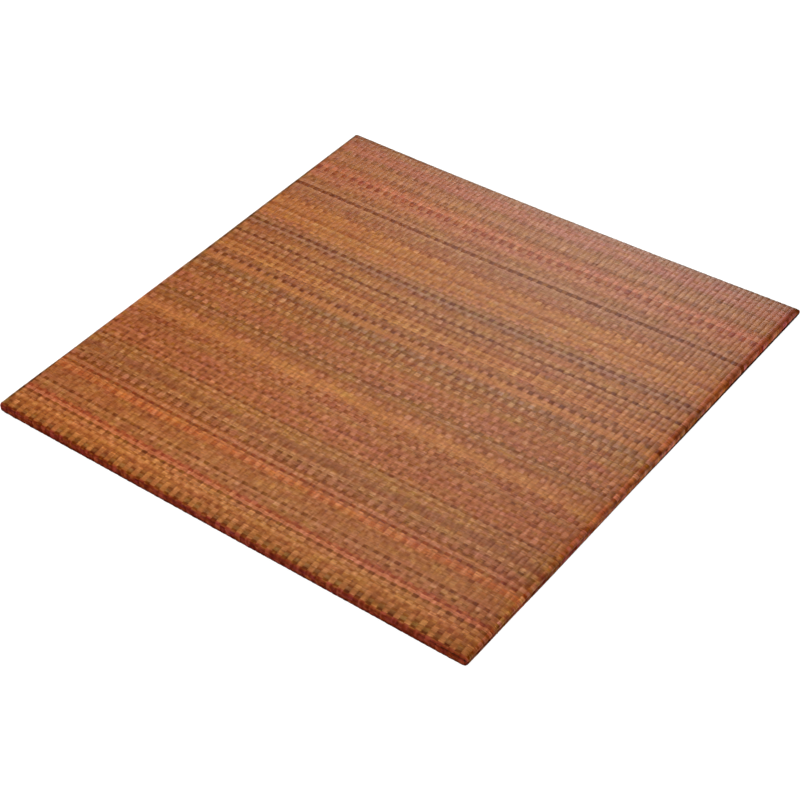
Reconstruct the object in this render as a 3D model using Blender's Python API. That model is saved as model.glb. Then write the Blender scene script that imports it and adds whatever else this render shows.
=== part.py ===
"""A square, borderless tatami mat of woven rush, lying flat.

The rush facing covers the top, folds down over all four sides and is tucked under.
Its warps run front to back, so the facing stands in ribs along Y on the top, in upright
ribs on the front and back sides, and in two lying ribs on the left and right sides.
Metres, +Z up. The origin is the centre of the flat underside; the stripes run along X.
"""

import math

import bmesh
import bpy
from mathutils import Vector

# Driving dimensions
MAT_SIDE = 0.820
MAT_THICKNESS = 0.017
TOP_EDGE_RADIUS = 0.0045
CORNER_RADIUS = 0.006
FOOT_CHAMFER = 0.0015

# Flat steps that each rounded edge is made of
CORNER_STEPS = 3
TOP_EDGE_STEPS = 2
FOOT_STEPS = 1

# Ribs of the weave
RIB_COUNT = 94
RIB_RELIEF = 0.0009
SIDE_RIB_RELIEF = 0.0008
STEPS_PER_RIB = 3

# The ribs lean: at the middle of the front they lie this much further right than at the back
RIB_LEAN = 0.011

# The back edge is drawn in a little between its corners
BACK_EDGE_BOW = 0.003

# Sizes worked out from those above
HALF = MAT_SIDE / 2
RIB_PITCH = MAT_SIDE / RIB_COUNT
SIDE_GROOVE_Z = MAT_THICKNESS / 2
STRAIGHT_HALF = HALF - CORNER_RADIUS
TOP_EDGE_START_Y = HALF - TOP_EDGE_RADIUS
TOP_EDGE_START_Z = MAT_THICKNESS - TOP_EDGE_RADIUS

# Finish
RUSH_COLOUR = (0.40, 0.165, 0.065, 1.0)
RUSH_ROUGHNESS = 0.55
SHARP_ANGLE = math.radians(40.0)

# Points closer than this are one point
TOUCH = 1e-6

# A groove's cut lies within this share of a rib from a whole number of ribs
GROOVE_REACH = 0.08

NO_MOVE = Vector((0.0, 0.0, 0.0))


def clear_scene():
    """Remove whatever the file already holds."""
    for old in list(bpy.data.objects):
        bpy.data.objects.remove(old, do_unlink=True)


def rush_material():
    """Dyed rush: a satin, non-metallic surface."""
    material = bpy.data.materials.new("woven_rush")
    material.use_nodes = True
    shader = material.node_tree.nodes["Principled BSDF"]
    shader.inputs["Base Color"].default_value = RUSH_COLOUR
    shader.inputs["Roughness"].default_value = RUSH_ROUGHNESS
    shader.inputs["Metallic"].default_value = 0.0
    return material


def round_edges(bm, edges, radius, steps):
    """Round some edges of the slab in a few flat steps."""
    bmesh.ops.bevel(
        bm, geom=edges, offset=radius, segments=steps, profile=0.5, affect="EDGES"
    )


def level_edges(bm, z):
    """Edges that lie wholly at height z, which is one rim of the slab."""
    return [e for e in bm.edges if all(abs(v.co.z - z) < TOUCH for v in e.verts)]


def upright_edges(bm):
    """The four vertical corner edges of the slab."""
    return [e for e in bm.edges if abs(e.verts[0].co.z - e.verts[1].co.z) > TOUCH]


def rounded_slab(bm):
    """A square slab with round corners, a round top rim and a chamfered foot."""
    bmesh.ops.create_cube(bm, size=1.0)
    for vert in bm.verts:
        vert.co.x *= MAT_SIDE
        vert.co.y *= MAT_SIDE
        vert.co.z = (vert.co.z + 0.5) * MAT_THICKNESS
    round_edges(bm, upright_edges(bm), CORNER_RADIUS, CORNER_STEPS)
    round_edges(bm, level_edges(bm, MAT_THICKNESS), TOP_EDGE_RADIUS, TOP_EDGE_STEPS)
    round_edges(bm, level_edges(bm, 0.0), FOOT_CHAMFER, FOOT_STEPS)


def cut_at(bm, point, normal):
    """Cut every face where a plane crosses it, so that the points there can be moved."""
    bmesh.ops.bisect_plane(
        bm,
        geom=bm.verts[:] + bm.edges[:] + bm.faces[:],
        dist=TOUCH,
        plane_co=point,
        plane_no=normal,
    )


def cut_rib_lines(bm):
    """Cut the slab at every groove and at the two shoulders of every rib."""
    for step in range(1, RIB_COUNT * STEPS_PER_RIB):
        x = -HALF + step * RIB_PITCH / STEPS_PER_RIB
        cut_at(bm, (x, 0.0, 0.0), (1.0, 0.0, 0.0))
    cut_at(bm, (0.0, 0.0, SIDE_GROOVE_Z), (0.0, 0.0, 1.0))


def in_groove(x):
    """True on a line between two ribs, false on a rib's shoulders."""
    ribs = (x + HALF) / RIB_PITCH
    return abs(ribs - round(ribs)) < GROOVE_REACH


def top_and_end_sinking(point):
    """How far a point on the top, front or back sinks into its groove, as a vector."""
    on_underside = point.z < TOUCH
    past_the_ribs = abs(point.x) > STRAIGHT_HALF
    if on_underside or past_the_ribs or not in_groove(point.x):
        return NO_MOVE
    out_y = max(0.0, abs(point.y) - TOP_EDGE_START_Y)
    out_z = max(0.0, point.z - TOP_EDGE_START_Z)
    length = math.hypot(out_y, out_z)
    if length < TOUCH:
        return NO_MOVE
    inward = Vector((0.0, -math.copysign(out_y, point.y), -out_z))
    return inward * (RIB_RELIEF / length)


def side_sinking(point):
    """How far a point on the left or right side sinks between the two lying ribs."""
    on_side = abs(abs(point.x) - HALF) < TOUCH
    if not on_side or abs(point.z - SIDE_GROOVE_Z) > TOUCH:
        return NO_MOVE
    return Vector((-math.copysign(SIDE_RIB_RELIEF, point.x), 0.0, 0.0))


def uneven_draw(point):
    """The weave isn't square: its ribs lean, and the back edge bows in between its corners."""
    reach = min(1.0, abs(point.x) / STRAIGHT_HALF)
    slack = 1.0 - reach * reach
    lean = -RIB_LEAN / 2 * slack * point.y / HALF
    bow = -BACK_EDGE_BOW * slack * max(0.0, point.y / HALF)
    return Vector((lean, bow, 0.0))


def raise_ribs(bm):
    """Sink the grooves and draw the weave out of square, by moving the points of the faces."""
    moves = [
        (v, top_and_end_sinking(v.co) + side_sinking(v.co) + uneven_draw(v.co))
        for v in bm.verts
    ]
    for vert, move in moves:
        vert.co += move


def build_mat(collection):
    """The whole mat as one closed solid."""
    bm = bmesh.new()
    rounded_slab(bm)
    cut_rib_lines(bm)
    raise_ribs(bm)
    bmesh.ops.remove_doubles(bm, verts=bm.verts[:], dist=TOUCH)
    bmesh.ops.triangulate(bm, faces=bm.faces[:])
    bmesh.ops.recalc_face_normals(bm, faces=bm.faces[:])
    mesh = bpy.data.meshes.new("rush_mat")
    bm.to_mesh(mesh)
    bm.free()
    mesh.shade_smooth()
    mesh.set_sharp_from_angle(angle=SHARP_ANGLE)
    mesh.materials.append(rush_material())
    mat = bpy.data.objects.new("rush_mat", mesh)
    collection.objects.link(mat)
    return mat


def main():
    clear_scene()
    collection = bpy.data.collections.new("tatami_mat")
    bpy.context.scene.collection.children.link(collection)
    build_mat(collection)


main()
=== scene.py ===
"""The looks of a square, borderless tatami mat, woven from striped, dyed rush.

The facing is made stem by stem. In each rib of the weave the stems of one shed lie on top,
side by side, and in the next rib those of the other shed do. Where both sheds have the same
dye, the mat shows a plain stripe, and where they differ, a row of dots. The facing wraps a
thin board: it turns over a round edge, runs down the side and is tucked in underneath.

Metres, +Z up. Stems run along X, ribs along Y, and -Y is the front. A place on the weave is
(a, b), along and across the stems. It is laid flat at (x, y) and then folded over the edges.
"""

import math

import bmesh
import bpy
import numpy as np
from mathutils import Matrix, Vector


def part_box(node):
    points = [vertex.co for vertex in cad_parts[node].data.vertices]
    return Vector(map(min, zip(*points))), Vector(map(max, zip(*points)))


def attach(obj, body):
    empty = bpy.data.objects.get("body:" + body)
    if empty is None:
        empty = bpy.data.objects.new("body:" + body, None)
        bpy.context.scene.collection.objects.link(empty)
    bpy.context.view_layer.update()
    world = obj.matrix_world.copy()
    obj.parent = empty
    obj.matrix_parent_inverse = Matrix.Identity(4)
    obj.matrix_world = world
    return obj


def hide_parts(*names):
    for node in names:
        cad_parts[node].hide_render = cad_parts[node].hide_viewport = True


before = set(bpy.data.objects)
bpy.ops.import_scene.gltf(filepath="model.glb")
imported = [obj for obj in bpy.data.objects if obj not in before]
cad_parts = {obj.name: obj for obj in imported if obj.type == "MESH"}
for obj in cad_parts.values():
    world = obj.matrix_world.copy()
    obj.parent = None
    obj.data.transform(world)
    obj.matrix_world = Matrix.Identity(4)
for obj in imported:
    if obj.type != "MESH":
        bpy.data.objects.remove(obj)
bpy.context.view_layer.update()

# Sizes taken from the frame
MAT_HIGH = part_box("rush_mat")[1]
HALF = MAT_HIGH[0]
THICKNESS = MAT_HIGH[2]

# The weave
RIB_PITCH = 0.00864
RIB_OFFSET = 0.0009
RIB_HEIGHT = 0.00042
STEM_PITCH = 0.0018
STEM_HEIGHT = 0.00022
SLICES = 8

# The points of one stem where it lies over a rib, in pitches: five along it by three across it.
# Its narrow ends dive between the stems of the next rib. The forms are shares of the rib's
# height and of the stem's half width.
ALONG = np.array([-0.64, -0.36, 0.0, 0.36, 0.64])
ACROSS = np.array([-1.0, 0.0, 1.0])
RIB_FORM = np.array([-0.30, 0.78, 1.0, 0.78, -0.30])
WIDTH_FORM = np.array([0.36, 0.96, 1.04, 0.96, 0.36])
HALF_WIDTH = 0.54

# How stems depart from an even weave: place and slant in stem pitches, reach and width as
# shares, and lift in metres
PLACE_SCATTER = 0.10
SLANT_SCATTER = 0.12
REACH_SCATTER = 0.04
WIDTH_SCATTER = 0.07
WIDTH_LIMITS = (0.8, 1.25)
LIFT_SCATTER = 0.00007

# The cell of the maps that each stem has to itself: half its length and half its width, in pitches
CELL_REACH = 0.5
CELL_HALF_WIDTH = 0.48

# The shape that the facing is laid on, measured at the bottom of the weave
WEAVE_DEPTH = 0.00085
BOARD_HALF = HALF - WEAVE_DEPTH
BOARD_TOP = THICKNESS - WEAVE_DEPTH
EDGE_RADIUS = 0.0037
FOOT_RADIUS = 0.0009
FOOT_CLEARANCE = 0.0010
SIDE_RUN = BOARD_TOP - EDGE_RADIUS - FOOT_CLEARANCE - FOOT_RADIUS
TUCK = 0.006
CORNER_RADIUS = 0.0025
SHORTEST_MITRE = 0.00001

# How far the facing runs from the start of the round edge to its tucked end
FACING_RUN = (EDGE_RADIUS + FOOT_RADIUS) * math.pi / 2 + SIDE_RUN + TUCK

# The buried layer of the weave: how far it lies below that shape, its points along an edge,
# round half a corner and down the section, and how close points are that become one
GROUND_DEPTH = 0.0001
GROUND_STEPS = 60
GROUND_CORNER_STEPS = 4
GROUND_LEVELS = 22
SAME_PLACE = 0.000001

# The cloth underneath
CLOTH_HALF = HALF - 0.0025
CLOTH_LEVEL = 0.00005
CLOTH_STEPS = 41

# The padding gives a little, so the top falls away towards the edges, most at the near corner
EDGE_DROP = 0.0008
CORNER_DROP = 0.0045
EDGE_DROP_REACH = 0.016

# The corners are pinched in height towards one level. The far right one is also drawn out to a tip.
PINCH_LEVEL = 0.010
CORNER_PINCH = 0.16
TIP_PINCH = 0.6
TIP_OUT = 0.0024
PINCH_REACH = 0.008

# How far each edge stands out at its two ends, and how far it bows in between them: the left
# and right edges from front to back, the others from left to right
LEFT_OUT = (-0.0002, 0.0010, 0.0010)
RIGHT_OUT = (0.0025, 0.0003, -0.0002)
FRONT_OUT = (0.0013, 0.0004, -0.0004)
BACK_OUT = (0.0034, 0.0040, 0.0052)

# How the weave is drawn out of square
RIB_LEAN = 0.0051
RIB_FANNING = 0.0009
RIB_BEND = 0.0014
RIB_DRIFT_AT = (-0.41, -0.27, -0.18, 0.0, 0.09, 0.18, 0.27, 0.36)
RIB_DRIFT = (-0.0003, -0.0003, 0.0002, 0.0003, 0.0009, -0.0006, -0.0002, 0.0003)
SWAY_AT = (-0.41, -0.33, -0.24, -0.12, 0.0, 0.12, 0.22, 0.32, 0.41)
SWAY_FRONT = (0.0021, 0.0017, 0.0013, 0.0020, 0.0023, 0.0038, 0.0038, 0.0052, 0.0061)
SWAY_MIDDLE = (0.0009, 0.0018, 0.0011, 0.0001, 0.0002, 0.0013, 0.0029, 0.0035, 0.0028)
SWAY_BACK = (-0.0006, -0.0007, -0.0010, -0.0012, -0.0019, 0.0009, 0.0018, 0.0020, 0.0024)

# Farther than any point is drawn out of place
DRAWN_OUT = 0.010

# Painted light and shade over the top: red, green and blue shares of the dyes along the stems, then
# across them
PAINTED_LIGHT_ALONG_AT = (-0.41, -0.3, -0.2, 0.0, 0.2, 0.3, 0.41)
PAINTED_LIGHT_ALONG = (
    (0.945, 0.985, 1.005, 1.01, 1.01, 0.985, 0.94),
    (0.84, 0.90, 0.945, 1.03, 1.04, 0.975, 0.86),
    (0.82, 0.775, 0.83, 1.06, 1.11, 1.01, 0.76),
)
PAINTED_LIGHT_ACROSS_AT = (-0.41, -0.3, -0.15, 0.0, 0.2, 0.3, 0.41)
PAINTED_LIGHT_ACROSS = (
    (1.06, 1.025, 1.01, 1.0, 0.985, 0.95, 0.885),
    (0.99, 0.965, 0.975, 0.995, 0.98, 0.90, 0.77),
    (0.90, 0.885, 0.92, 0.97, 0.98, 0.87, 0.68),
)

# Painted shade and light where the facing turns over an edge and runs down to the floor, and how the wax
# wears off there. The far edges are the left one and the back one.
SHADE_AND_WAX_AT = (-0.001, 0.0005, 0.002, 0.004, 0.008, 0.012, 0.0155, 0.018)
FRONT_EDGE_PAINTED_SHADE = (
    (1.0, 1.0, 1.05, 1.05, 1.0, 0.80, 0.40, 0.2),
    (1.0, 0.92, 0.85, 0.82, 0.80, 0.62, 0.32, 0.2),
    (1.0, 0.95, 0.92, 0.92, 0.92, 0.70, 0.40, 0.25),
)
FAR_EDGE_PAINTED_SHADE = (
    (0.95, 0.70, 0.55, 0.50, 0.50, 0.50, 0.45, 0.30),
    (0.97, 0.85, 0.75, 0.70, 0.65, 0.55, 0.45, 0.25),
    (1.0, 0.95, 0.90, 0.80, 0.70, 0.55, 0.45, 0.30),
)
WAXY = (1.0, 0.8, 0.4, 0.1, 0.0, 0.0, 0.0, 0.0)

# Painted shade: a dark band along the right side stands for the shade of a groove, higher towards the
# back. Painted light makes the facing paler above it and redder just below it. This sets in where the
# top begins to turn down.
PAINTED_GROOVE_AT = (-0.41, -0.3, -0.1, 0.08, 0.3, 0.41)
PAINTED_GROOVE_DOWN = (0.0082, 0.0072, 0.0038, 0.0024, 0.0006, 0.0002)
FROM_PAINTED_GROOVE = (-0.008, -0.006, -0.004, -0.002, -0.001, 0.0, 0.001, 0.002, 0.0035, 0.006, 0.008)
PAINTED_GROOVE_SHADE = (
    (1.9, 1.7, 1.4, 1.1, 0.95, 0.86, 1.35, 2.0, 2.2, 1.5, 0.8),
    (2.3, 2.1, 1.4, 0.7, 0.41, 0.3, 0.42, 0.85, 1.45, 1.4, 0.88),
    (3.1, 2.6, 1.7, 0.76, 0.42, 0.29, 0.45, 1.0, 1.9, 2.5, 2.0),
)
PAINTED_GROOVE_SETS_IN = (-0.004, 0.0)

# Painted light and shade towards the back of the right side: the facing is paler half way down, and
# darker lower down
BACK_RIGHT_FROM = (0.12, 0.3)
BACK_RIGHT_DOWN = (0.0, 0.002, 0.003, 0.0047, 0.006, 0.007, 0.0077, 0.0085, 0.0125)
BACK_RIGHT = (
    (0.82, 0.98, 1.15, 1.75, 2.0, 1.8, 1.35, 1.05, 0.75),
    (0.82, 0.96, 1.12, 1.7, 1.9, 1.55, 1.05, 0.75, 0.5),
    (0.75, 0.90, 1.08, 1.6, 1.55, 1.2, 0.75, 0.55, 0.4),
)

# Painted shade darkens the right side where it nears the floor
FOOT_DOWN = (0.007, 0.009, 0.0105, 0.013, 0.0155, 0.018)
FOOT_SHADE = (1.0, 0.95, 0.52, 0.27, 0.2, 0.2)

# How tone and hue scatter, as shares of the dye. Specks have the share of all places that they
# take up, and their strength.
STEM_SCATTER = 0.05
DRIFT_SCATTER = 0.06
DRIFT_KNOTS = 9
SPOT_SCATTER = 0.06
PALE_SPECKS = (0.07, 0.14)
DARK_SPECKS = (0.06, 0.24)
CROSSING_SCATTER = 0.05
STROKES_PER_RIB = 3
STROKE_SCATTER = 0.15
# Glints in the strokes: the pale ones are painted highlights, the dark ones painted shade
PAINTED_GLINTS = (0.03, 0.45)
PATCH_SCATTER = 0.2
HUE_SCATTER = 0.07
SIDE_HUE_SCATTER = 0.14
TONE_LIMITS = (-0.6, 0.5)

# How strong the strokes are, from the front to the back. They are random tone with painted highlights
# and painted shade.
STROKES_AT = np.array([0.0, 0.5, 1.0])
STROKES = (1.25, 1.1, 0.5)

# Painted highlight and shade along a stem: it darkens at its buried ends and lightens at its crest, at
# its five points, and how strongly, from the left to the right
PAINTED_CREST = np.array([-1.0, 0.1, 0.4, 0.1, -1.0])
PAINTED_CREST_MEAN = 0.26
PAINTED_CREST_SCATTER = 0.12
PAINTED_CRESTS_AT = np.array([0.0, 0.3, 0.6])
PAINTED_CRESTS = (0.4, 0.8, 0.3)

# How a lighter place pales, and how a greener one changes, in red, green and blue
PALING = np.array([0.62, 1.0, 1.5])
GREENING = np.array([0.1, 0.7, -0.7])

# Scatter shows more on darker dyes, within limits that are closer for tone than for hue. The
# darkness of a dye is told from its green, which is this in a middling one.
MIDDLE_GREEN = 0.13
DARKNESS_LIMITS = (0.8, 2.0)
MOST_DARKNESS_FOR_TONE = 1.5

# No dyed place is lighter than this share of white
BRIGHTEST = 0.9

SEED = 7

# Dyes, as the sRGB colour of the dyed rush
DYES = {
    "straw": (181, 121, 74),
    "wheat": (196, 128, 74),
    "gold": (190, 122, 67),
    "ochre": (181, 112, 58),
    "amber": (174, 105, 46),
    "sand": (172, 107, 60),
    "khaki": (163, 104, 58),
    "tan": (167, 101, 50),
    "fawn": (162, 98, 53),
    "clay": (164, 94, 43),
    "peach": (192, 116, 66),
    "coral": (194, 115, 75),
    "salmon": (179, 107, 65),
    "pink": (180, 113, 73),
    "dove": (172, 113, 73),
    "mauve": (162, 109, 75),
    "rose": (174, 108, 78),
    "terracotta": (170, 99, 56),
    "orange": (175, 93, 41),
    "brick": (168, 88, 50),
    "rust": (154, 69, 31),
    "russet": (163, 93, 57),
    "brown": (155, 94, 53),
    "umber": (153, 86, 38),
    "cinnamon": (158, 88, 31),
    "moss": (157, 98, 44),
    "sage": (145, 92, 45),
    "olive": (152, 91, 36),
    "bronze": (143, 84, 35),
    "chestnut": (147, 78, 23),
    "oxblood": (148, 68, 22),
    "coffee": (133, 71, 18),
    "ink": (120, 57, 5),
    "wine": (166, 79, 45),
    "claret": (148, 64, 37),
}

# The stripes from the front edge to the back: a dye, and how far back it reaches, in mm.
# The first chart is for the even ribs, the second for the odd ones.
EVEN_STRIPES = """
wine -0.5, russet 1, ochre 10, gold 16, clay 26.5, gold 32.5, clay 35, sand 39.8, coffee 44.8,
coral 51, brick 57.5, sand 71.8, coffee 77.2, sand 85.5, tan 93, clay 97, sand 101, tan 107,
orange 117.5, terracotta 121.5, umber 127.3, pink 133.5, umber 137.2, coffee 143,
brown 148.7, coffee 154, straw 161.2, umber 167, brown 178.5, straw 186.2, olive 190.8,
straw 196.8, chestnut 201.6, salmon 215, terracotta 221, salmon 227, russet 235,
chestnut 239.6, terracotta 248.7, sand 259, umber 265.7, terracotta 275.4, chestnut 281.6,
ochre 298.8, clay 303.5, pink 311, umber 316.6, tan 321.6, olive 325.4, dove 331.5,
bronze 338.5, umber 345, terracotta 359.5, chestnut 365.5, terracotta 370, salmon 379,
moss 387.3, olive 392.8, clay 403.5, straw 412.8, sage 422, bronze 428, ochre 443,
pink 447.5, brown 455.8, umber 462.3, gold 469.5, ochre 474.3, gold 481.2, clay 486.8,
sand 492.8, olive 498.2, straw 505.6, ink 512, moss 519, tan 531.5, coffee 538,
mauve 544.8, sage 549.5, dove 556.3, olive 561.3, ochre 575.5, amber 583, ochre 589.6,
cinnamon 595.8, ochre 605.5, amber 616.8, cinnamon 624.9, fawn 633.8, umber 640.4,
khaki 650.2, dove 656.8, ink 664.8, dove 673, bronze 681, brown 684.8, sand 693, pink 702,
terracotta 708.5, oxblood 719, pink 729.5, terracotta 731.6, fawn 735, umber 741,
khaki 746.4, straw 756.2, khaki 766, bronze 777, rose 786.6, umber 792.6, rose 801,
mauve 813, bronze 840
"""
ODD_STRIPES = """
claret -2.6, umber 0, ink 2.9, sage 7.7, coffee 12.3, tan 19, clay 23.6, gold 29.7,
cinnamon 34.4, wheat 40.4, clay 44.4, coral 49.6, rust 55.3, fawn 62.5, bronze 67,
straw 72.8, fawn 77.4, sand 89.4, tan 93.8, sand 99.5, umber 105, peach 121.7,
oxblood 127.5, pink 133.3, umber 139, pink 148.2, khaki 161.3, brown 177.3, olive 182,
sand 188.3, olive 192.9, khaki 197.3, brown 201, sand 206.4, chestnut 212,
terracotta 216.8, umber 222.2, salmon 227.7, chestnut 232.8, terracotta 237.5,
salmon 245.8, umber 254.6, khaki 257.4, pink 264.8, chestnut 270.8, sand 283.5,
ochre 302.5, clay 311.4, umber 316.7, khaki 321.4, olive 326.4, khaki 330.9, coffee 336.2,
pink 345, umber 352.4, pink 360.4, terracotta 369, umber 375, clay 380.2, olive 385.3,
straw 392.8, khaki 398.4, chestnut 404.7, brown 409.4, coffee 416.9, mauve 424.7,
sand 430.3, ochre 440.2, coffee 443, ink 448.6, coffee 450.4, fawn 452.9, sand 459.6,
tan 463, ochre 468.4, cinnamon 474.8, ochre 481, chestnut 487.4, fawn 493.4, umber 498.8,
fawn 504.5, bronze 511, straw 520.4, tan 530.8, brown 536.8, mauve 544, ink 550.3,
khaki 555.9, moss 559.8, pink 566.6, clay 572.7, amber 582, straw 588.8, cinnamon 596.4,
tan 601.4, ochre 609.4, amber 615.6, gold 623, umber 629, pink 636.5, khaki 643.4,
brown 650.8, dove 658.3, coffee 665, dove 672.8, khaki 683.8, umber 690.3, pink 698.2,
russet 704.8, pink 712.8, terracotta 717.8, coral 727, terracotta 733, fawn 738.2,
bronze 747, dove 756, khaki 763.8, dove 771.8, rose 796.5, mauve 800.5, brown 808.4,
mauve 813, bronze 840
"""

# The fibres of the rush: how many there are to a metre along and across the stems, how far
# their noise spreads, the shade and the roughness it gives, and the gloss from bare to waxy
FIBRES = (90.0, 2600.0, 1.0)
FIBRE_SPREAD = (0.25, 0.75)
FIBRE_SHADE = (0.86, 1.11)
FIBRE_ROUGHNESS = (0.34, 0.50)
WAX_SPECULAR = (0.0, 0.20)
FULL_RANGE = (0.0, 1.0)

# The camera that took the photograph
CAMERA_TURN = math.radians(42.07)
CAMERA_RISE = math.radians(41.38)
CAMERA_ROLL = math.radians(-4.72)
CAMERA_DISTANCE = 2.7408
CAMERA_TARGET = Vector((-0.0256, -0.1267, 0.0))
CAMERA_LENS = 87.19
CAMERA_SENSOR = 36.0
CAMERA_SHIFT = (0.0837, 0.0060)

# The lamps: place, side, power, and whether the gloss mirrors it
LAMPS = {
    "lamp_overhead": ((-1.0, 0.8, 3.1), 3.0, 126.2, False),
    "lamp_behind": ((-1.25, 3.09, 1.35), 1.0, 58.0, True),
}

# The room around the mat
ROOM_LIGHT = 0.02
WALL_RADIUS = 30.0
WALL_SIDES = 96
WHITE = (1, 1, 1, 1)
FLOOR_GREY = (0.12, 0.12, 0.12, 1)

random = np.random.default_rng(SEED)


# Colour


def linear(colour):
    """An sRGB colour of 0 to 255 as linear light of 0 to 1."""
    share = np.asarray(colour, float) / 255
    return np.where(share <= 0.04045, share / 12.92, ((share + 0.055) / 1.055) ** 2.4)


def read_chart(chart):
    """A stripe chart as where each stripe ends, in metres from the front edge, and its dye."""
    entries = [entry.split() for entry in chart.split(",")]
    ends = np.array([float(end) for _, end in entries]) / 1000
    return ends, np.array([linear(DYES[dye]) for dye, _ in entries])


def dye_at(b, odd):
    """The dye of each stem, from its place b across the stripes and its shed."""
    from_front = b + HALF
    colours = np.empty((len(b), 3))
    for shed, chart in enumerate((EVEN_STRIPES, ODD_STRIPES)):
        ends, dyes = read_chart(chart)
        mine = odd == shed
        stripe = np.searchsorted(ends, from_front[mine]).clip(0, len(ends) - 1)
        colours[mine] = dyes[stripe]
    return colours


def curve(place, at, shares):
    """Red, green and blue shares at each place, from three curves."""
    return np.stack([np.interp(place, at, share) for share in shares], axis=-1)


def edge_shade_paint(b, down, on_right, on_front):
    """Painted light and shade at the edges, as shares of red, green and blue.

    down is how far a stem is past the start of the round edge, and less than 0 on the top.
    """
    # The right side: a painted shaded groove with painted light about it, painted shade near the floor,
    # and painted light and shade towards the back
    set_in = np.interp(down, PAINTED_GROOVE_SETS_IN, (0, 1))
    from_painted_groove = down - np.interp(b, PAINTED_GROOVE_AT, PAINTED_GROOVE_DOWN)
    right = 1 + (curve(from_painted_groove, FROM_PAINTED_GROOVE, PAINTED_GROOVE_SHADE) - 1) * set_in[:, None]
    right = right * np.interp(down, FOOT_DOWN, FOOT_SHADE)[:, None]
    to_back = np.interp(b, BACK_RIGHT_FROM, (0, 1)) * set_in
    right = right * (1 + (curve(down, BACK_RIGHT_DOWN, BACK_RIGHT) - 1) * to_back[:, None])
    front = curve(down, SHADE_AND_WAX_AT, FRONT_EDGE_PAINTED_SHADE)
    far = curve(down, SHADE_AND_WAX_AT, FAR_EDGE_PAINTED_SHADE)
    return np.where(on_right[:, None], right, np.where(on_front[:, None], front, far))


# How colour scatters. A grid has a row for each stem of a shed, and a column for each rib.


def softened(noise, rows, ribs):
    """Noise shared with neighbours that many rows and ribs away, as strong as before."""
    shared = sum(
        np.roll(noise, (i, j), axis=(0, 1))
        for i in range(-rows, rows + 1)
        for j in range(-ribs, ribs + 1)
    )
    return shared / math.sqrt((2 * rows + 1) * (2 * ribs + 1))


def specks(grid, pale, dark):
    """Rare pale and dark specks, each kind given as its share of places and its strength."""
    chance = random.random(grid)
    return np.where(chance < pale[0], pale[1], 0.0) - np.where(chance > 1 - dark[0], dark[1], 0.0)


def slow_tone(rib, row, odd, grid):
    """Each stem's own tone, and its slow drift from rib to rib."""
    rows, ribs = grid
    own = random.normal(0, STEM_SCATTER, (2, rows))[odd, row]
    drift = random.normal(0, DRIFT_SCATTER, (2, rows, DRIFT_KNOTS))
    place = rib / ribs * (DRIFT_KNOTS - 1)
    knot = place.astype(int)
    share = place - knot
    return own + (drift[odd, row, knot] * (1 - share) + drift[odd, row, knot + 1] * share)


def spots(rib, row, grid):
    """Lighter and darker spots, one wherever a stem lies over a rib."""
    speck = specks(grid, PALE_SPECKS, DARK_SPECKS)
    spot = softened(random.normal(0, SPOT_SCATTER, grid) + speck, 1, 0)
    return spot[row, rib] + random.normal(0, CROSSING_SCATTER, len(rib))


def strokes(rib, row, grid):
    """Short strokes across neighbouring stems, for each point along a stem: random tone with painted
    highlights and painted shade.
    """
    rows, ribs = grid
    columns = STROKES_PER_RIB * ribs
    painted_glint = specks((rows, columns), PAINTED_GLINTS, PAINTED_GLINTS)
    stroke = softened(random.normal(0, STROKE_SCATTER, (rows, columns)) + painted_glint, 2, 0)
    point = STROKES_PER_RIB * rib[:, None] + np.arange(len(ALONG)) - 1
    stroke = stroke[row[:, None], point % columns]
    return stroke * np.interp(row, STROKES_AT * rows, STROKES)[:, None]


def painted_crests(rib, ribs):
    """Painted highlight at a stem's crest and painted shade at its buried ends, for each point along it.
    """
    strength = random.normal(PAINTED_CREST_MEAN, PAINTED_CREST_SCATTER, len(rib)).clip(0, None)
    return PAINTED_CREST * strength[:, None] * np.interp(rib, PAINTED_CRESTS_AT * ribs, PAINTED_CRESTS)[:, None]


def tint(rib, row, odd, down, dye):
    """How the points along each stem depart from its dye, as shares of red, green and blue.

    rib and row count from 0. Colours scatter more on the sides than on the top.
    """
    grid = row.max() + 1, rib.max() + 1
    darkness = (MIDDLE_GREEN / dye[:, 1]).clip(*DARKNESS_LIMITS)
    on_side = np.interp(down, (0.0, EDGE_RADIUS), (0.0, 1.0))
    slow = slow_tone(rib, row, odd, grid)
    # The strokes carry random tone with painted highlights and painted shade
    tone = spots(rib, row, grid)[:, None] + strokes(rib, row, grid)
    # The crests add painted highlights and painted shade along each stem
    tone = tone * darkness[:, None].clip(0, MOST_DARKNESS_FOR_TONE) + painted_crests(rib, grid[1])
    patch = softened(random.normal(0, PATCH_SCATTER, grid), 2, 0)[row, rib] * on_side
    tone = (tone * (1 + on_side)[:, None] + patch[:, None]).clip(*TONE_LIMITS)
    hue = softened(random.normal(0, HUE_SCATTER, grid), 2, 1)[row, rib] * darkness
    hue = hue + softened(random.normal(0, SIDE_HUE_SCATTER, grid), 1, 0)[row, rib] * on_side
    change = slow[:, None, None] + (hue[:, None] * GREENING)[:, None]
    return np.exp(change + tone[:, :, None] * PALING)


# Where a point of the weave lies on the mat


def drawn(a, b):
    """Where places on the weave are laid. It isn't square: its ribs lean and its stems sway."""
    across, up = a / HALF, b / HALF
    x = a - RIB_LEAN * up + RIB_FANNING * across * up + RIB_BEND * up**2
    x = x + np.interp(a, RIB_DRIFT_AT, RIB_DRIFT)
    front, middle, back = (np.interp(a, SWAY_AT, s) for s in (SWAY_FRONT, SWAY_MIDDLE, SWAY_BACK))
    y = b + middle + (front - middle) * (-up).clip(0, 1) + (back - middle) * up.clip(0, 1)
    return x, y


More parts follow.
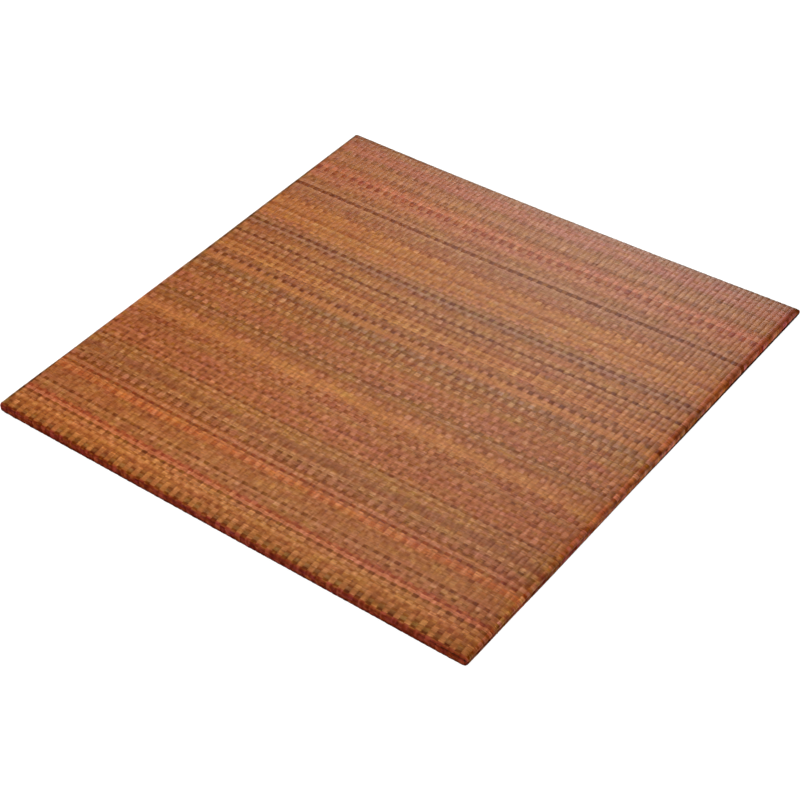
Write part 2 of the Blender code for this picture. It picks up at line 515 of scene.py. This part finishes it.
def stands_out(along, edge):
    """How far an edge stands out at places along it."""
    first, last, bow = edge
    share = (along / HALF).clip(-1, 1)
    return (first * (1 - share) + last * (1 + share)) / 2 - bow * (1 - share**2)


def side_reach(x, y):
    """How far out the sides stand: (left or right, front or back)."""
    side = np.where(x < 0, stands_out(y, LEFT_OUT), stands_out(y, RIGHT_OUT))
    end = np.where(y < 0, stands_out(x, FRONT_OUT), stands_out(x, BACK_OUT))
    return BOARD_HALF + side, BOARD_HALF + end


def swapped(first, second, by_side):
    """Both values, changed over where by_side is true: (x, y) as (along, out), or back again."""
    return np.where(by_side, second, first), np.where(by_side, first, second)


def over_edge(run):
    """The section of the edge: from the flat top, over the round edge, down and under.

    Returns how far in from the side the surface is, its height, and its outward direction.
    """
    round_end = EDGE_RADIUS * math.pi / 2
    side_end = round_end + SIDE_RUN
    foot_end = side_end + FOOT_RADIUS * math.pi / 2
    over = (run / EDGE_RADIUS).clip(0, math.pi / 2)
    under = ((run - side_end) / FOOT_RADIUS).clip(0, math.pi / 2)
    inset = EDGE_RADIUS * (1 - np.sin(over)) + (-run).clip(0, None)
    inset = inset + FOOT_RADIUS * (1 - np.cos(under)) + (run - foot_end).clip(0, None)
    height = BOARD_TOP - EDGE_RADIUS * (1 - np.cos(over))
    height = height - (run - round_end).clip(0, SIDE_RUN) - FOOT_RADIUS * np.sin(under)
    return inset, height, np.sin(over + under), np.cos(over + under)


def folded(x, y, rise, by_side):
    """Folds laid points over the mat's edges. rise is how far a point stands off the surface.

    by_side is true where a point goes over the left or right side rather than the front or
    back. Also returns how far past the corner's mitre line each point is, less than 0 on the top.
    """
    reach_x, reach_y = side_reach(x, y)
    along, out = swapped(x, y, by_side)
    reach_along, reach_out = swapped(reach_x, reach_y, by_side)
    run = np.abs(out) - reach_out + EDGE_RADIUS
    on_edge = run > 0
    inset, height, outward, upward = over_edge(run)

    # Past the straight stretch of an edge, points turn about its corner, as far as the mitre line
    straight = reach_along - CORNER_RADIUS
    over = (np.abs(along) - straight).clip(0, None)
    mitre = np.minimum(run + CORNER_RADIUS - EDGE_RADIUS, CORNER_RADIUS * math.pi / 4)
    mitre = mitre.clip(SHORTEST_MITRE, None)
    angle = math.pi / 4 * (over / mitre).clip(0, 1)
    radius = CORNER_RADIUS - inset + outward * rise
    round_along = np.minimum(np.abs(along), straight) + radius * np.sin(angle)
    round_out = reach_out - CORNER_RADIUS + radius * np.cos(angle)
    flat_out = reach_out - inset + outward * rise
    new_along = np.sign(along) * np.where(on_edge, round_along, np.abs(along))
    new_out = np.sign(out) * np.where(on_edge, round_out, flat_out)
    place = np.stack([*swapped(new_along, new_out, by_side), height + upward * rise], axis=-1)
    settle(place, x, y)
    return place, np.where(on_edge, over - mitre, -1.0)


def settle(place, x, y):
    """Lowers folded points near the edges, and pinches them at the corners."""
    reach_x, reach_y = side_reach(x, y)
    inside_x, inside_y = reach_x - np.abs(x), reach_y - np.abs(y)
    inside = np.minimum(inside_x, inside_y).clip(0, None)
    nearness = (1 + (x / HALF).clip(-1, 1)) * (1 - (y / HALF).clip(-1, 1)) / 4
    drop = (EDGE_DROP + CORNER_DROP * nearness) * np.exp(-inside / EDGE_DROP_REACH)
    place[..., 2] *= 1 - drop / THICKNESS
    from_corner = inside_x.clip(0, None) + inside_y.clip(0, None)
    closeness = np.exp(-from_corner / PINCH_REACH)
    at_tip = (x > 0) & (y > 0)
    pinch = closeness * np.where(at_tip, TIP_PINCH, CORNER_PINCH)
    place[..., 2] += (PINCH_LEVEL - place[..., 2]) * pinch
    place[..., :2] += (closeness * np.where(at_tip, TIP_OUT, 0.0))[..., None]


# Meshes


def add_mesh(name, points, faces, material):
    """A smooth mesh object from arrays of points and of faces with four corners each."""
    mesh = bpy.data.meshes.new(name)
    mesh.vertices.add(len(points))
    mesh.vertices.foreach_set("co", points.astype(np.float32).ravel())
    mesh.loops.add(faces.size)
    mesh.loops.foreach_set("vertex_index", faces.astype(np.int32).ravel())
    mesh.polygons.add(len(faces))
    mesh.polygons.foreach_set("loop_start", np.arange(len(faces), dtype=np.int32) * 4)
    mesh.update(calc_edges=True)
    mesh.shade_smooth()
    mesh.materials.append(material)
    piece = bpy.data.objects.new(name, mesh)
    bpy.context.scene.collection.objects.link(piece)
    return piece


def add_map(mesh, name, places):
    """A UV map from one place for each vertex."""
    corners = np.empty(len(mesh.loops), np.int32)
    mesh.loops.foreach_get("vertex_index", corners)
    layer = mesh.uv_layers.new(name=name)
    layer.uv.foreach_set("vector", places[corners].astype(np.float32).ravel())


def net_faces(index):
    """The four-cornered faces of a net, from its grid of vertex numbers."""
    return np.stack([index[:-1, :-1], index[1:, :-1], index[1:, 1:], index[:-1, 1:]], axis=-1)


def stem_faces(count):
    """The faces of that many stems."""
    points = len(ALONG) * len(ACROSS)
    one = net_faces(np.arange(points).reshape(len(ALONG), len(ACROSS))).reshape(-1, 4)
    return (np.arange(count)[:, None, None] * points + one).reshape(-1, 4)


def stem_points(centre_a, centre_b):
    """The points of each stem: their places on the weave, and how far they stand off it."""
    count = len(centre_a)
    slant = random.normal(0, SLANT_SCATTER, count)[:, None, None]
    reach = random.normal(1, REACH_SCATTER, count)[:, None, None]
    width = random.normal(1, WIDTH_SCATTER, count).clip(*WIDTH_LIMITS)[:, None, None]
    lift = random.normal(0, LIFT_SCATTER, count)[:, None, None]
    along = ALONG[:, None]
    across = ACROSS * (HALF_WIDTH * width * WIDTH_FORM[:, None])
    a = centre_a[:, None, None] + along * reach * RIB_PITCH
    b = centre_b[:, None, None] + (across + slant * along) * STEM_PITCH
    rise = RIB_HEIGHT * RIB_FORM[:, None] + STEM_HEIGHT * (1 - np.abs(ACROSS)) + lift
    return a, b, rise


def stem_cells(centre_a, centre_b):
    """The map places of each stem's points, in a cell that no other stem uses."""
    a = centre_a[:, None, None] + ALONG.clip(-CELL_REACH, CELL_REACH)[:, None] * RIB_PITCH
    b = centre_b[:, None, None] + ACROSS * CELL_HALF_WIDTH * STEM_PITCH
    return np.stack(np.broadcast_arrays(a, b), axis=-1)


def middles(values):
    """The values at the middle point of each stem."""
    return values[:, len(ALONG) // 2, len(ACROSS) // 2]


def lay_stems():
    """Every stem where it shows, as arrays: points, map places, dye with its painted light and shade and
    with gloss, and row.
    """
    whole = HALF + FACING_RUN - EDGE_RADIUS + DRAWN_OUT
    ribs, rows = int(whole / RIB_PITCH), int(whole / STEM_PITCH)
    rib, row = np.meshgrid(np.arange(-ribs, ribs + 1), np.arange(-rows, rows + 1))
    rib, row = rib.ravel(), row.ravel()
    odd = rib % 2

    # The stems of the odd shed lie half a pitch behind those of the even one
    centre_a = rib * RIB_PITCH + RIB_OFFSET
    grid_b = (row + odd / 2) * STEM_PITCH
    shift = random.normal(0, PLACE_SCATTER, (2, 2 * rows + 1)) * STEM_PITCH
    centre_b = grid_b + shift[odd, row + rows]
    a, b, rise = stem_points(centre_a, centre_b)

    # Near the rim each point is folded by its own side, and farther down by its stem's
    x, y = drawn(a, b)
    reach_x, reach_y = side_reach(x, y)
    past_x, past_y = np.abs(x) - reach_x, np.abs(y) - reach_y
    run = np.maximum(past_x, past_y) + EDGE_RADIUS
    by_side = past_x > past_y
    down, on_side = middles(run), middles(by_side)
    well_over = (down > CORNER_RADIUS / 2)[:, None, None]
    place, past_mitre = folded(x, y, rise, np.where(well_over, on_side[:, None, None], by_side))
    keep = (past_mitre.min((1, 2)) < 0) & (run.min((1, 2)) < FACING_RUN)

    dye = dye_at(centre_b, odd)
    tone = tint(rib + ribs, row + rows, odd, down, dye)
    # Painted light and shade: slow shares that lighten, darken and tint whole regions of the top
    painted_light = curve(centre_a, PAINTED_LIGHT_ALONG_AT, PAINTED_LIGHT_ALONG)
    painted_light = painted_light * curve(centre_b, PAINTED_LIGHT_ACROSS_AT, PAINTED_LIGHT_ACROSS)
    # Painted light and shade where the facing turns over the edges and runs down to the floor
    edge_paint = edge_shade_paint(centre_b, down, on_side & (middles(x) > 0), ~on_side & (middles(y) < 0))
    colour = ((dye * painted_light * edge_paint)[:, None] * tone).clip(0, BRIGHTEST)
    waxy = np.interp(down, SHADE_AND_WAX_AT, WAXY)[:, None, None]
    gloss = np.broadcast_to(waxy, (len(rib), len(ALONG), 1))
    shaded_dye_and_gloss = np.concatenate([colour, gloss], axis=2)
    return place[keep], stem_cells(centre_a, grid_b)[keep], shaded_dye_and_gloss[keep], row[keep]


def stem_pieces(material):
    """The stems, in slices from front to back."""
    place, cell, colour, row = lay_stems()
    edges = np.linspace(row.min(), row.max() + 1, SLICES + 1).round().astype(int)
    pieces = []
    for number, (first, last) in enumerate(zip(edges[:-1], edges[1:]), 1):
        mine = (row >= first) & (row < last)
        count = int(mine.sum())
        piece = add_mesh(f"rush_stems_{number}", place[mine].reshape(-1, 3), stem_faces(count), material)
        flat = cell[mine].reshape(-1, 2)
        low, high = flat.min(0), flat.max(0)
        add_map(piece.data, "OFBake", (flat - low) / (high - low))
        add_map(piece.data, "stem", flat)
        shaded_dye_and_gloss = np.repeat(colour[mine], len(ACROSS), axis=1).astype(np.float32)
        # The dye attribute holds each stem's dye with its painted light and shade; its alpha is the
        # gloss
        layer = piece.data.color_attributes.new("dye", "FLOAT_COLOR", "POINT")
        layer.data.foreach_set("color", shaded_dye_and_gloss.ravel())
        pieces.append(piece)
    return pieces


def ring_path():
    """Places along one mitre-to-mitre quarter of the mat's edge, as laid distances."""
    straight = BOARD_HALF - CORNER_RADIUS
    end = straight + CORNER_RADIUS * math.pi / 4
    return np.concatenate(
        [
            np.linspace(-end, -straight, GROUND_CORNER_STEPS, endpoint=False),
            np.linspace(-straight, straight, GROUND_STEPS),
            np.linspace(straight, end, GROUND_CORNER_STEPS + 1)[1:],
        ]
    )


def ground_quarter(path, by_side, direction):
    """The ground layer over one edge: right or left where by_side is true, else back or front."""
    run, path = np.meshgrid(np.linspace(0.0, FACING_RUN, GROUND_LEVELS), path, indexing="ij")
    square = swapped(path, direction * (BOARD_HALF - EDGE_RADIUS + run), by_side)
    reach_along, reach_out = swapped(*side_reach(*square), by_side)
    out = direction * (reach_out - EDGE_RADIUS + run)
    x, y = swapped(path * reach_along / BOARD_HALF, out, by_side)
    return folded(x, y, np.full(x.shape, -GROUND_DEPTH), np.full(x.shape, by_side))[0]


def ground_piece(material):
    """The buried layer of the weave, which shows between the stems in a dark colour that is painted
    shade.
    """
    path = ring_path()
    quarters = [
        ground_quarter(path, False, -1),
        ground_quarter(path, True, 1),
        ground_quarter(path[::-1], False, 1),
        ground_quarter(path[::-1], True, -1),
    ]
    rings = np.concatenate(quarters, axis=1)
    levels, around = rings.shape[:2]
    index = np.arange(levels * around).reshape(levels, around)
    faces = net_faces(np.concatenate([index, index[:, :1]], axis=1))
    piece = add_mesh("weave_ground", rings.reshape(-1, 3), faces.reshape(-1, 4), material)
    close_top(piece, around)
    return piece


def close_top(piece, around):
    """Fills the flat top of the ground layer, whose rim is the mesh's first ring."""
    bm = bmesh.new()
    bm.from_mesh(piece.data)
    bm.verts.ensure_lookup_table()
    bm.faces.new(bm.verts[:around])
    bmesh.ops.remove_doubles(bm, verts=bm.verts[:], dist=SAME_PLACE)
    bmesh.ops.recalc_face_normals(bm, faces=bm.faces[:])
    bm.to_mesh(piece.data)
    bm.free()


def underside_piece(material):
    """The plain cloth that closes the mat underneath and covers the tucked ends of the facing."""
    across = np.linspace(-CLOTH_HALF, CLOTH_HALF, CLOTH_STEPS)
    x, y = np.meshgrid(across, across, indexing="ij")
    reach_x, reach_y = side_reach(x, y)
    z = np.full(x.shape, CLOTH_LEVEL)
    points = np.stack([x * reach_x / BOARD_HALF, y * reach_y / BOARD_HALF, z], axis=-1)
    facing_up = net_faces(np.arange(x.size).reshape(x.shape)).reshape(-1, 4)
    facing_down = facing_up[:, [0, 3, 2, 1]]
    return add_mesh("underside_cloth", points.reshape(-1, 3), facing_down, material)


# Materials


def new_material(name):
    """A material, its node tree and its Principled shader."""
    material = bpy.data.materials.new(name)
    material.use_nodes = True
    return material, material.node_tree, material.node_tree.nodes["Principled BSDF"]


def set_inputs(tree, node, inputs):
    """Sets each named input of a node to a value, or links it to another node's output."""
    for name, value in inputs.items():
        if isinstance(value, bpy.types.NodeSocket):
            tree.links.new(value, node.inputs[name])
        else:
            node.inputs[name].default_value = value


def add_node(tree, kind, inputs, **settings):
    """A new node of that kind, with its inputs and its other settings."""
    node = tree.nodes.new(kind)
    for name, value in settings.items():
        setattr(node, name, value)
    set_inputs(tree, node, inputs)
    return node


def ranged(tree, value, start, end):
    """A value, taken from the range start to the range end."""
    inputs = {"Value": value}
    inputs["From Min"], inputs["From Max"] = start
    inputs["To Min"], inputs["To Max"] = end
    return add_node(tree, "ShaderNodeMapRange", inputs).outputs["Result"]


def bumped(tree, height, strength, distance):
    """The normal of a surface that has such a relief."""
    inputs = {"Height": height, "Strength": strength, "Distance": distance}
    return add_node(tree, "ShaderNodeBump", inputs).outputs["Normal"]


def mottled(tree, scale, detail, dark, light):
    """A fine grain, and the colour that it mixes of dark and light."""
    grain = add_node(tree, "ShaderNodeTexNoise", {"Scale": scale, "Detail": detail}).outputs["Fac"]
    ramp = add_node(tree, "ShaderNodeValToRGB", {"Fac": grain})
    for element, colour in zip(ramp.color_ramp.elements, (dark, light)):
        element.color = (*colour, 1)
    return grain, ramp.outputs["Color"]


def rush_material():
    """Dyed rush: each stem's dye with its painted light and shade, fine fibres along it, and a waxy
    skin.
    """
    material, tree, shader = new_material("dyed_rush")
    dye = add_node(tree, "ShaderNodeAttribute", {}, attribute_name="dye").outputs
    place = add_node(tree, "ShaderNodeUVMap", {}, uv_map="stem").outputs["UV"]
    drawn_out = add_node(tree, "ShaderNodeMapping", {"Vector": place, "Scale": FIBRES}).outputs["Vector"]
    noise = {"Vector": drawn_out, "Scale": 1.0, "Detail": 3.0, "Roughness": 0.6}
    fibres = add_node(tree, "ShaderNodeTexNoise", noise).outputs["Fac"]
    shaded = {"Vector": dye["Color"], "Scale": ranged(tree, fibres, FIBRE_SPREAD, FIBRE_SHADE)}
    colour = add_node(tree, "ShaderNodeVectorMath", shaded, operation="SCALE").outputs["Vector"]
    inputs = {
        "Base Color": colour,
        "Roughness": ranged(tree, fibres, FULL_RANGE, FIBRE_ROUGHNESS),
        "Specular IOR Level": ranged(tree, dye["Alpha"], FULL_RANGE, WAX_SPECULAR),
        "Normal": bumped(tree, fibres, strength=0.35, distance=0.0001),
    }
    set_inputs(tree, shader, inputs)
    return material


def shaded_ground_material():
    """Buried rush between the stems, far darker than the dyes: painted shade."""
    material, tree, shader = new_material("buried_rush_painted_shade")
    dark, light = (0.020, 0.007, 0.003), (0.075, 0.024, 0.009)
    _, colour = mottled(tree, scale=600.0, detail=2.0, dark=dark, light=light)
    set_inputs(tree, shader, {"Base Color": colour, "Roughness": 0.8})
    return material


def underside_material():
    """Plain felted cloth."""
    material, tree, shader = new_material("underside_felt")
    dark, light = (0.10, 0.085, 0.07), (0.20, 0.175, 0.15)
    grain, colour = mottled(tree, scale=900.0, detail=4.0, dark=dark, light=light)
    normal = bumped(tree, grain, strength=0.4, distance=0.0003)
    set_inputs(tree, shader, {"Base Color": colour, "Roughness": 0.95, "Normal": normal})
    return material


def floor_material():
    """A white that is partly self-lit, so that it takes hardly any shadow."""
    material, tree, shader = new_material("floor_white")
    glow = {"Base Color": FLOOR_GREY, "Emission Color": WHITE, "Emission Strength": 1.0}
    set_inputs(tree, shader, {**glow, "Roughness": 1.0, "Specular IOR Level": 0.0})
    return material


# Stage


def make_floor():
    """A plain white floor, and far off a wall that closes low views and lights nothing."""
    bpy.ops.mesh.primitive_plane_add(size=4 * WALL_RADIUS)
    floor = bpy.context.object
    floor.name = "floor"
    bpy.ops.mesh.primitive_cylinder_add(
        vertices=WALL_SIDES,
        radius=WALL_RADIUS,
        depth=2 * WALL_RADIUS,
        end_fill_type="NOTHING",
    )
    wall = bpy.context.object
    wall.name = "wall"
    wall.visible_diffuse = wall.visible_glossy = wall.visible_transmission = False
    wall.visible_shadow = False
    material = floor_material()
    for piece in (floor, wall):
        piece.data.materials.append(material)


def add_softbox(name, place, size, power, mirrored):
    """A large square lamp that faces the middle of the mat. mirrored: it shows in the gloss."""
    lamp = bpy.data.lights.new(name, "AREA")
    lamp.size = size
    lamp.energy = power
    box = bpy.data.objects.new(name, lamp)
    box.location = place
    box.rotation_euler = (-Vector(place)).to_track_quat("-Z", "Y").to_euler()
    box.visible_glossy = mirrored
    bpy.context.scene.collection.objects.link(box)


def make_light():
    """Soft studio light: a big lamp overhead, a smaller one behind, and a pale room."""
    world = bpy.data.worlds.new("room")
    world.use_nodes = True
    background = world.node_tree.nodes["Background"]
    set_inputs(world.node_tree, background, {"Color": WHITE, "Strength": ROOM_LIGHT})
    bpy.context.scene.world = world
    for name, (place, side, power, mirrored) in LAMPS.items():
        add_softbox(name, place, side, power, mirrored)
    bpy.context.scene.view_settings.view_transform = "Standard"


def make_camera():
    """The camera, at the photograph's angle."""
    back = Vector(
        (
            math.sin(CAMERA_TURN) * math.cos(CAMERA_RISE),
            -math.cos(CAMERA_TURN) * math.cos(CAMERA_RISE),
            math.sin(CAMERA_RISE),
        )
    )
    right = (-back).cross(Vector((0, 0, 1))).normalized()
    up = back.cross(right)
    turned = Matrix.Rotation(CAMERA_ROLL, 3, back)
    right, up = turned @ right, turned @ up
    data = bpy.data.cameras.new("camera")
    data.lens = CAMERA_LENS
    data.sensor_width = CAMERA_SENSOR
    data.shift_x, data.shift_y = CAMERA_SHIFT
    camera = bpy.data.objects.new("camera", data)
    camera.matrix_world = Matrix.Translation(CAMERA_TARGET + back * CAMERA_DISTANCE) @ (
        Matrix((right, up, back)).transposed().to_4x4()
    )
    bpy.context.scene.collection.objects.link(camera)
    bpy.context.scene.camera = camera


def main():
    """Sets the stage, makes the pieces, and says how they belong to the mat."""
    make_camera()
    make_floor()
    make_light()
    stems = stem_pieces(rush_material())
    ground = ground_piece(shaded_ground_material())
    underside = underside_piece(underside_material())
    for piece in (*stems, ground, underside):
        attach(piece, "root")
    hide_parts("rush_mat")


main()
